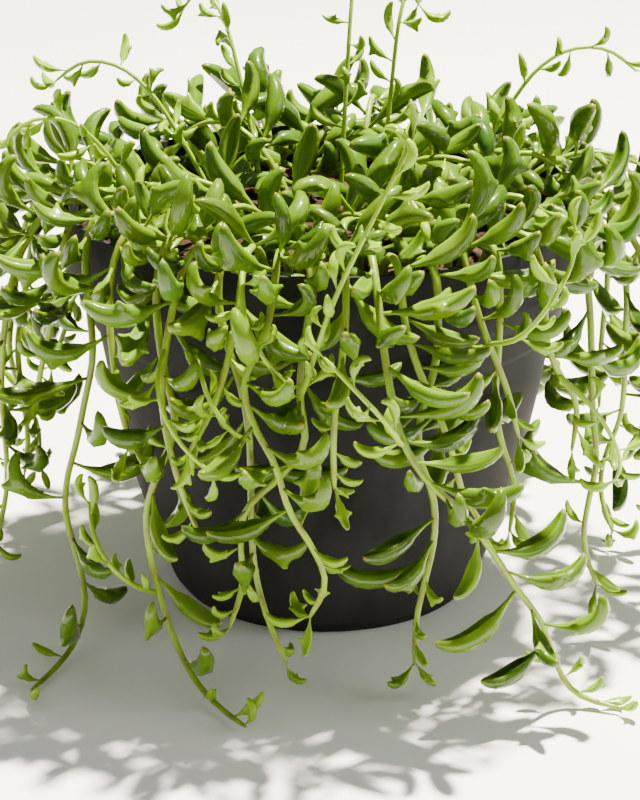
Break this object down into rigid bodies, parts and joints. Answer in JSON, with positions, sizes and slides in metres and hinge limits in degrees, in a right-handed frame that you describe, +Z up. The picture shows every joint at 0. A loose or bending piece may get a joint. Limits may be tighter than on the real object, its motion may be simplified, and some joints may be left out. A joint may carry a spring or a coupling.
{
  "type": "potted string of dolphins",
  "caption": "Trailing succulent with dolphin-shaped leaves, growing in soil in a black plastic nursery pot and hanging over its rim down to the surface",
  "frame": {"origin": "centre of the pot's underside, on the surface that the pot stands on", "axes": "+Z up along the pot's axis, -Y towards the side that the picture shows, +X to the right of it"},
  "size_m": [0.2252, 0.2311, 0.1787],
  "materials": {
    "pot": "black injection-moulded polypropylene, satin, with fine scuffs",
    "soil": "loose reddish-brown coir and bark potting mix",
    "foliage": "fleshy mid-green leaf and paler stem with a waxy gloss",
    "young_growth": "thin yellow-green young shoot with a waxy gloss"
  },
  "bodies": {
    "root": {"crown_stem_01": "foliage", "crown_stem_02": "foliage", "crown_stem_03": "foliage", "crown_stem_04": "foliage", "crown_stem_05": "foliage", "crown_stem_06": "foliage", "crown_stem_07": "foliage", "crown_stem_08": "foliage", "crown_stem_09": "foliage", "crown_stem_10": "foliage", "crown_stem_11": "foliage", "crown_stem_12": "foliage", "crown_stem_13": "foliage", "crown_stem_14": "foliage", "crown_stem_15": "foliage", "crown_stem_16": "foliage", "crown_stem_17": "foliage", "crown_stem_18": "foliage", "crown_stem_19": "foliage", "crown_stem_20": "foliage", "crown_stem_21": "foliage", "crown_stem_22": "foliage", "pot": "pot", "soil": "soil", "trailing_stem_01": "foliage", "trailing_stem_02": "foliage", "trailing_stem_03": "foliage", "trailing_stem_04": "foliage", "trailing_stem_05": "foliage", "trailing_stem_06": "foliage", "trailing_stem_07": "foliage", "trailing_stem_08": "foliage", "trailing_stem_09": "foliage", "trailing_stem_10": "foliage", "trailing_stem_11": "foliage", "trailing_stem_12": "foliage", "trailing_stem_13": "foliage", "trailing_stem_14": "foliage", "trailing_stem_15": "foliage", "trailing_stem_16": "foliage", "trailing_stem_17": "foliage", "trailing_stem_18": "foliage", "trailing_stem_19": "foliage", "trailing_stem_20": "foliage", "trailing_stem_21": "foliage", "trailing_stem_22": "foliage", "trailing_stem_23": "foliage", "trailing_stem_24": "foliage", "trailing_stem_25": "foliage", "trailing_stem_26": "foliage", "trailing_stem_27": "foliage", "trailing_stem_28": "foliage", "trailing_stem_29": "foliage", "upright_shoot_01": "young_growth", "upright_shoot_02": "young_growth", "upright_shoot_03": "young_growth", "upright_shoot_04": "young_growth", "upright_shoot_05": "young_growth", "upright_shoot_06": "young_growth"}
  },
  "joints": []
}
